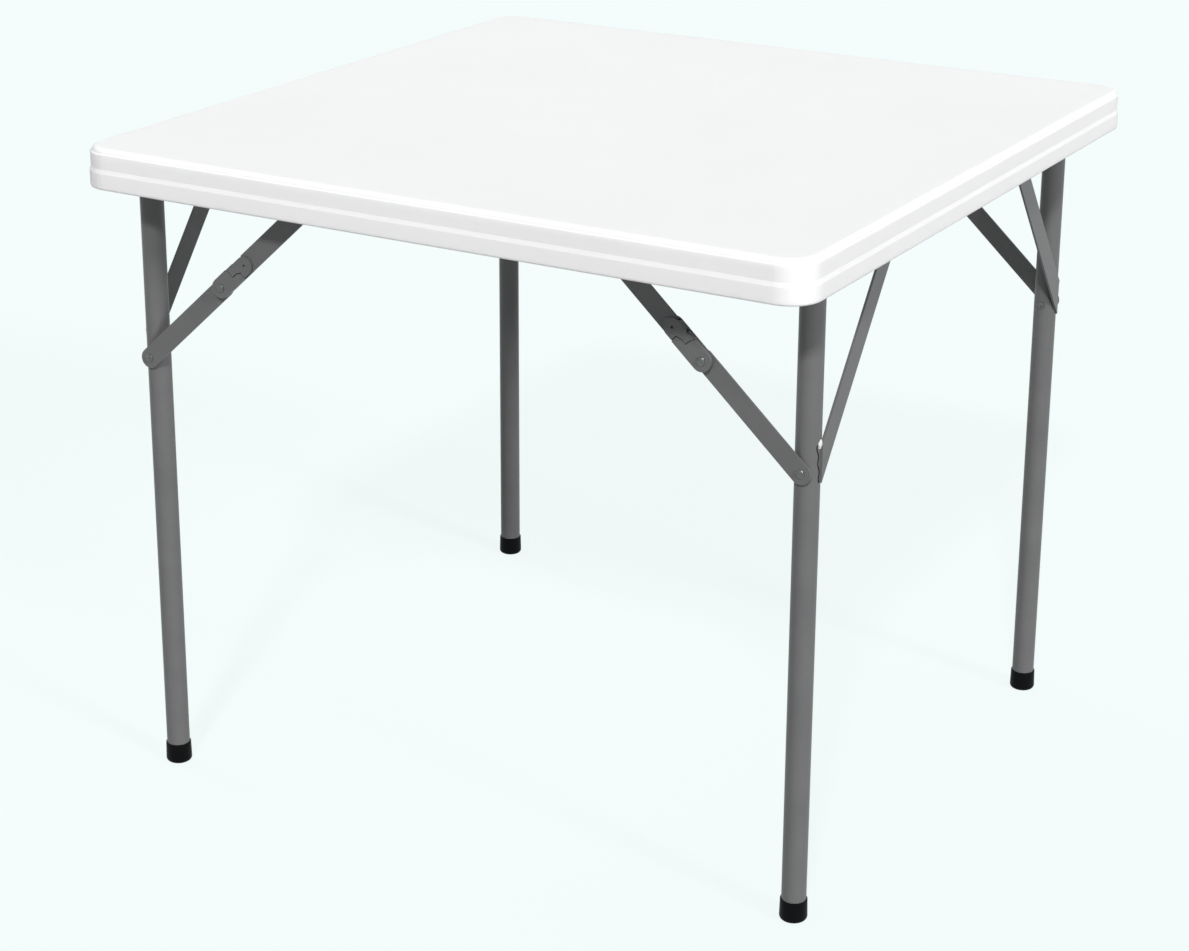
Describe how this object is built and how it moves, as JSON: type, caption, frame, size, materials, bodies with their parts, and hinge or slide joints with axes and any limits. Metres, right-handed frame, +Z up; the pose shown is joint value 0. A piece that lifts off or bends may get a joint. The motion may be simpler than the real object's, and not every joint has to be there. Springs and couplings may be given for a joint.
{
  "type": "folding card table",
  "caption": "Square card table with a moulded white top and two tube leg frames that fold flat under it on hooked knuckle braces",
  "frame": {"origin": "on the floor under the middle of the table top", "axes": "+Z up; -Y is the front edge; the wide leg frame folds about the bar at -X, the narrow one about the bar at +X"},
  "size_m": [0.858, 0.858, 0.737],
  "materials": {
    "top_plastic": "blow-moulded white polyethylene with a very fine grain",
    "frame_paint": "semi-gloss grey powder coat",
    "black_plastic": "black moulded polyethylene",
    "rivet_steel": "bright zinc-plated steel",
    "bracket_steel": "dull zinc-plated pressed steel"
  },
  "bodies": {
    "top": {"table_top": "top_plastic", "brace_bracket_left_front": "frame_paint", "saddle_left_front": "bracket_steel", "pivot_block_left_front": "black_plastic", "brace_bracket_left_back": "frame_paint", "saddle_left_back": "bracket_steel", "pivot_block_left_back": "black_plastic", "brace_bracket_right_front": "frame_paint", "saddle_right_front": "bracket_steel", "pivot_block_right_front": "black_plastic", "brace_bracket_right_back": "frame_paint", "saddle_right_back": "bracket_steel", "pivot_block_right_back": "black_plastic", "bracket_rivets": "rivet_steel", "bracket_screws": "bracket_steel", "saddle_screws": "bracket_steel"},
    "frame_left": {"crossbar_left": "frame_paint", "crossbar_plugs_left": "black_plastic", "leg_rivet_shanks_left": "rivet_steel", "leg_left_front": "frame_paint", "foot_cap_left_front": "black_plastic", "gusset_left_front": "frame_paint", "leg_left_back": "frame_paint", "foot_cap_left_back": "black_plastic", "gusset_left_back": "frame_paint"},
    "lower_strut_left_front": {"lower_strut_left_front": "frame_paint", "leg_rivet_head_left_front": "rivet_steel"},
    "upper_strut_left_front": {"upper_strut_left_front": "frame_paint", "knuckle_rivet_left_front": "rivet_steel", "knuckle_spacer_left_front": "rivet_steel"},
    "lower_strut_left_back": {"lower_strut_left_back": "frame_paint", "leg_rivet_head_left_back": "rivet_steel"},
    "upper_strut_left_back": {"upper_strut_left_back": "frame_paint", "knuckle_rivet_left_back": "rivet_steel", "knuckle_spacer_left_back": "rivet_steel"},
    "frame_right": {"crossbar_right": "frame_paint", "crossbar_plugs_right": "black_plastic", "leg_rivet_shanks_right": "rivet_steel", "leg_right_front": "frame_paint", "foot_cap_right_front": "black_plastic", "gusset_right_front": "frame_paint", "leg_right_back": "frame_paint", "foot_cap_right_back": "black_plastic", "gusset_right_back": "frame_paint"},
    "lower_strut_right_front": {"lower_strut_right_front": "frame_paint", "leg_rivet_head_right_front": "rivet_steel"},
    "upper_strut_right_front": {"upper_strut_right_front": "frame_paint", "knuckle_rivet_right_front": "rivet_steel", "knuckle_spacer_right_front": "rivet_steel"},
    "lower_strut_right_back": {"lower_strut_right_back": "frame_paint", "leg_rivet_head_right_back": "rivet_steel"},
    "upper_strut_right_back": {"upper_strut_right_back": "frame_paint", "knuckle_rivet_right_back": "rivet_steel", "knuckle_spacer_right_back": "rivet_steel"}
  },
  "joints": [
    {"name": "fold_left", "type": "hinge", "parent": "top", "child": "frame_left", "pos_m": [-0.384, 0, 0.703], "axis": [0, -1, 0], "range_deg": [0, 90]},
    {"name": "brace_left_front", "type": "hinge", "parent": "top", "child": "upper_strut_left_front", "pos_m": [-0.156, -0.381, 0.703], "axis": [0, 1, 0], "range_deg": [0, 42.58]},
    {"name": "knuckle_left_front", "type": "hinge", "parent": "upper_strut_left_front", "child": "lower_strut_left_front", "pos_m": [-0.27681, -0.381, 0.59199], "axis": [0, -1, 0], "range_deg": [0, 180]},
    {"name": "brace_left_back", "type": "hinge", "parent": "top", "child": "upper_strut_left_back", "pos_m": [-0.156, 0.381, 0.703], "axis": [0, 1, 0], "range_deg": [0, 42.58]},
    {"name": "knuckle_left_back", "type": "hinge", "parent": "upper_strut_left_back", "child": "lower_strut_left_back", "pos_m": [-0.27681, 0.381, 0.59199], "axis": [0, -1, 0], "range_deg": [0, 180]},
    {"name": "fold_right", "type": "hinge", "parent": "top", "child": "frame_right", "pos_m": [0.384, 0, 0.7045], "axis": [0, 1, 0], "range_deg": [0, 90]},
    {"name": "brace_right_front", "type": "hinge", "parent": "top", "child": "upper_strut_right_front", "pos_m": [0.156, -0.3383, 0.7045], "axis": [0, -1, 0], "range_deg": [0, 42.58]},
    {"name": "knuckle_right_front", "type": "hinge", "parent": "upper_strut_right_front", "child": "lower_strut_right_front", "pos_m": [0.27681, -0.3383, 0.59349], "axis": [0, 1, 0], "range_deg": [0, 180]},
    {"name": "brace_right_back", "type": "hinge", "parent": "top", "child": "upper_strut_right_back", "pos_m": [0.156, 0.3383, 0.7045], "axis": [0, -1, 0], "range_deg": [0, 42.58]},
    {"name": "knuckle_right_back", "type": "hinge", "parent": "upper_strut_right_back", "child": "lower_strut_right_back", "pos_m": [0.27681, 0.3383, 0.59349], "axis": [0, 1, 0], "range_deg": [0, 180]}
  ],
  "couplings": [
    {"joint": "brace_left_front", "follows": "fold_left", "ratio": 0.4731},
    {"joint": "knuckle_left_front", "follows": "fold_left", "ratio": 2},
    {"joint": "brace_left_back", "follows": "fold_left", "ratio": 0.4731},
    {"joint": "knuckle_left_back", "follows": "fold_left", "ratio": 2},
    {"joint": "brace_right_front", "follows": "fold_right", "ratio": 0.4731},
    {"joint": "knuckle_right_front", "follows": "fold_right", "ratio": 2},
    {"joint": "brace_right_back", "follows": "fold_right", "ratio": 0.4731},
    {"joint": "knuckle_right_back", "follows": "fold_right", "ratio": 2}
  ]
}
